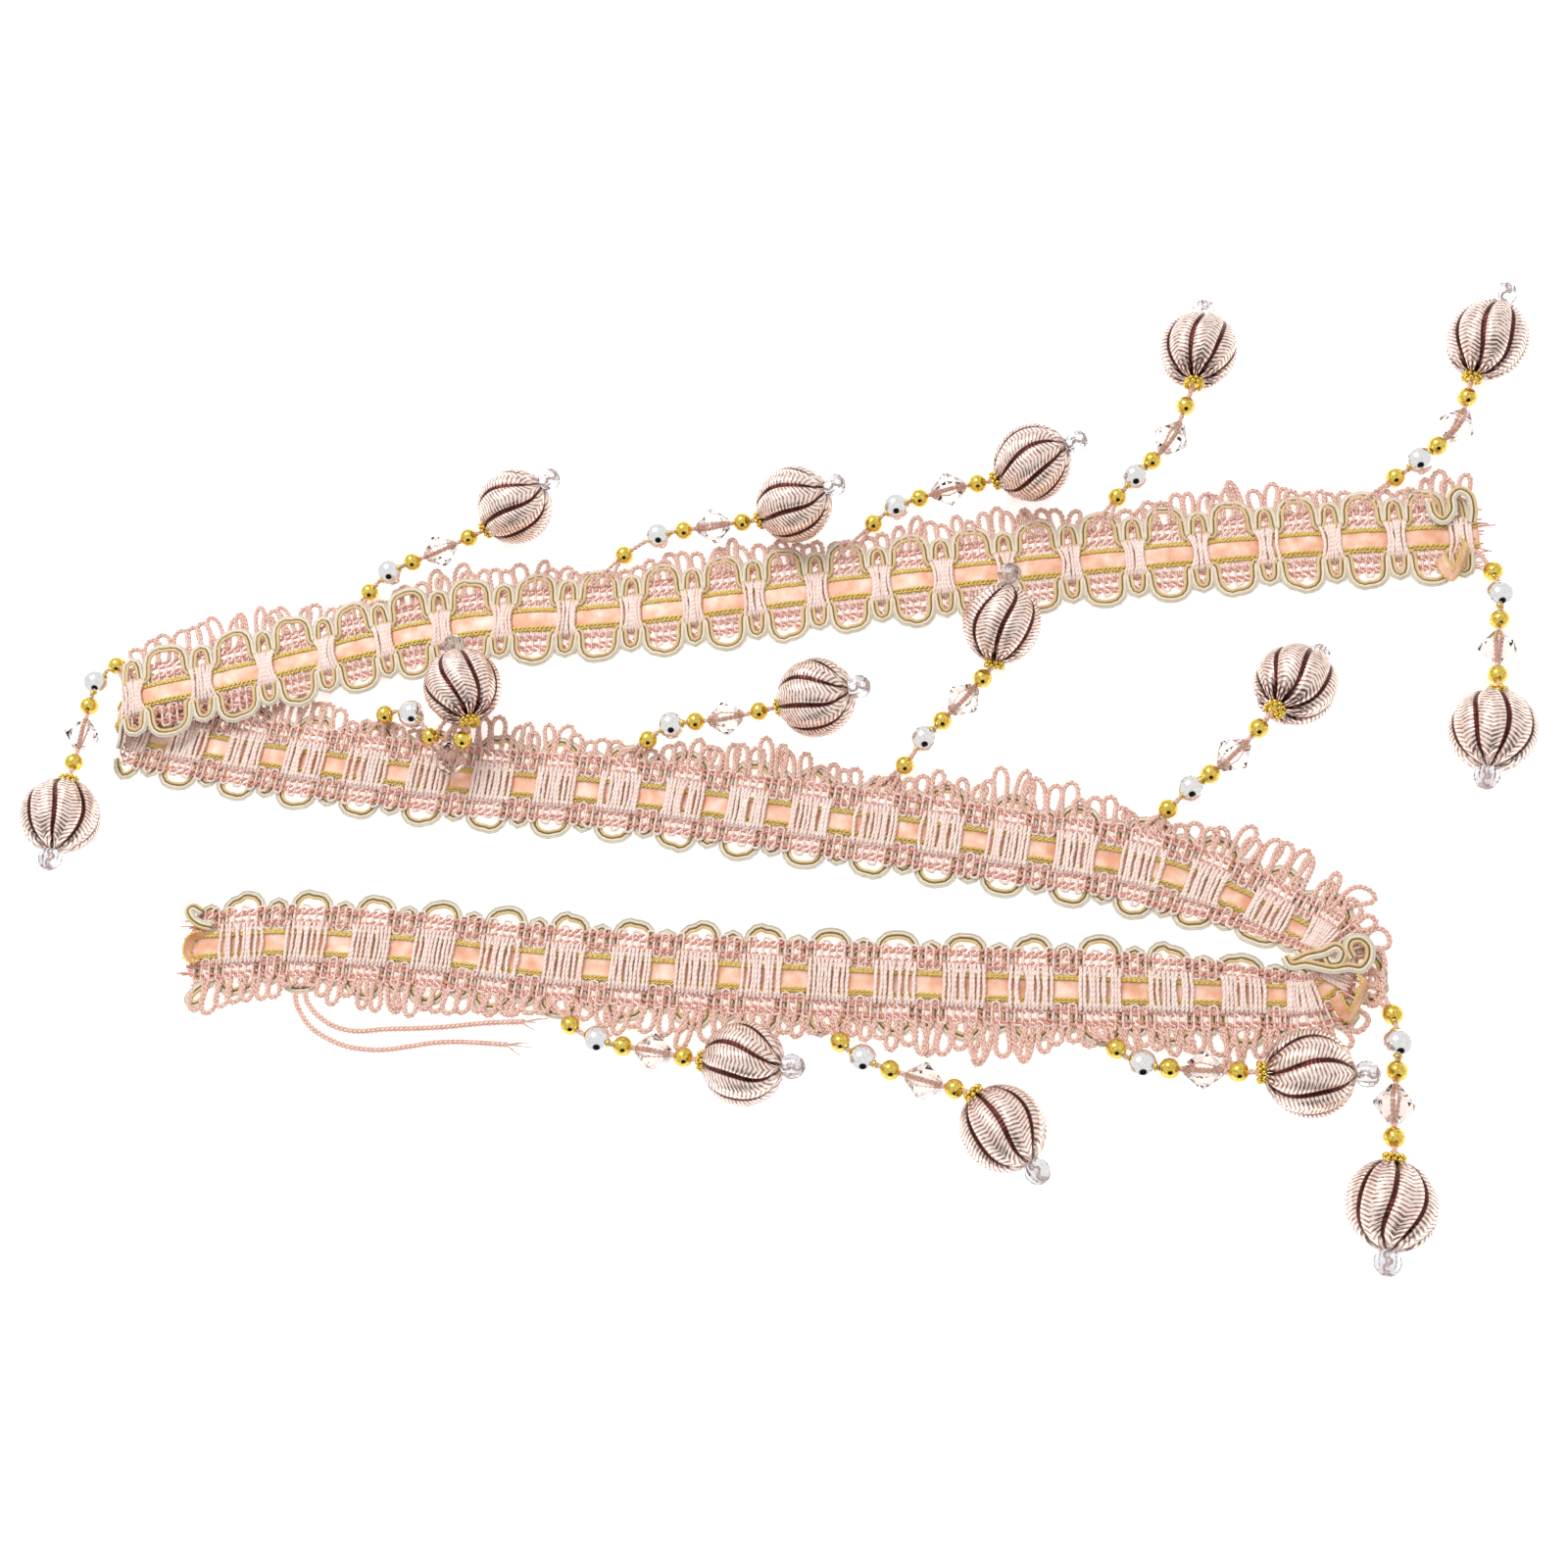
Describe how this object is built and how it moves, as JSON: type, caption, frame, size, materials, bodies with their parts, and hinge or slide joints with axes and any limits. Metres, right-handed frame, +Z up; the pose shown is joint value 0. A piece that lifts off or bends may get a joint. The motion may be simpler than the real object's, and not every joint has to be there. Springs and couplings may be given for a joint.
{
  "type": "beaded fringe trim",
  "caption": "Ribbon-threaded scroll braid lying in a Z, with loop fringe and beaded droppers that end in cord-wound balls.",
  "frame": {"origin": "centre of the footprint, on the surface that the trim lies on", "axes": "+X along the long runs of the Z, +Y across them towards the top run, +Z up off the surface"},
  "size_m": [0.3833, 0.2441, 0.0223],
  "materials": {
    "braid": "rayon yarn, soft sheen",
    "ribbon": "satin",
    "loops": "twisted rayon yarn",
    "beads": "polished",
    "ball": "metallic cord",
    "end_bead": "clear"
  },
  "bodies": {
    "root": {"braid_front": "braid", "braid_turn": "braid", "braid_middle": "braid", "braid_top": "braid", "satin_ribbon": "ribbon", "loop_fringe_front": "loops", "loop_fringe_turn": "loops", "loop_fringe_middle": "loops", "loop_fringe_top": "loops", "yarn_tail_1": "loops", "yarn_tail_2": "loops", "bead_string_01": "beads", "bead_string_02": "beads", "bead_string_03": "beads", "bead_string_04": "beads", "bead_string_05": "beads", "bead_string_06": "beads", "bead_string_07": "beads", "bead_string_08": "beads", "bead_string_09": "beads", "bead_string_10": "beads", "bead_string_11": "beads", "bead_string_12": "beads", "bead_string_13": "beads", "bead_string_14": "beads", "bead_string_15": "beads", "lantern_ball_01": "ball", "lantern_ball_02": "ball", "lantern_ball_03": "ball", "lantern_ball_04": "ball", "lantern_ball_05": "ball", "lantern_ball_06": "ball", "lantern_ball_07": "ball", "lantern_ball_08": "ball", "lantern_ball_09": "ball", "lantern_ball_10": "ball", "lantern_ball_11": "ball", "lantern_ball_12": "ball", "lantern_ball_13": "ball", "lantern_ball_14": "ball", "lantern_ball_15": "ball", "end_bead_01": "end_bead", "end_bead_02": "end_bead", "end_bead_03": "end_bead", "end_bead_04": "end_bead", "end_bead_05": "end_bead", "end_bead_06": "end_bead", "end_bead_07": "end_bead", "end_bead_08": "end_bead", "end_bead_09": "end_bead", "end_bead_10": "end_bead", "end_bead_11": "end_bead", "end_bead_12": "end_bead", "end_bead_13": "end_bead", "end_bead_14": "end_bead", "end_bead_15": "end_bead"}
  },
  "joints": []
}
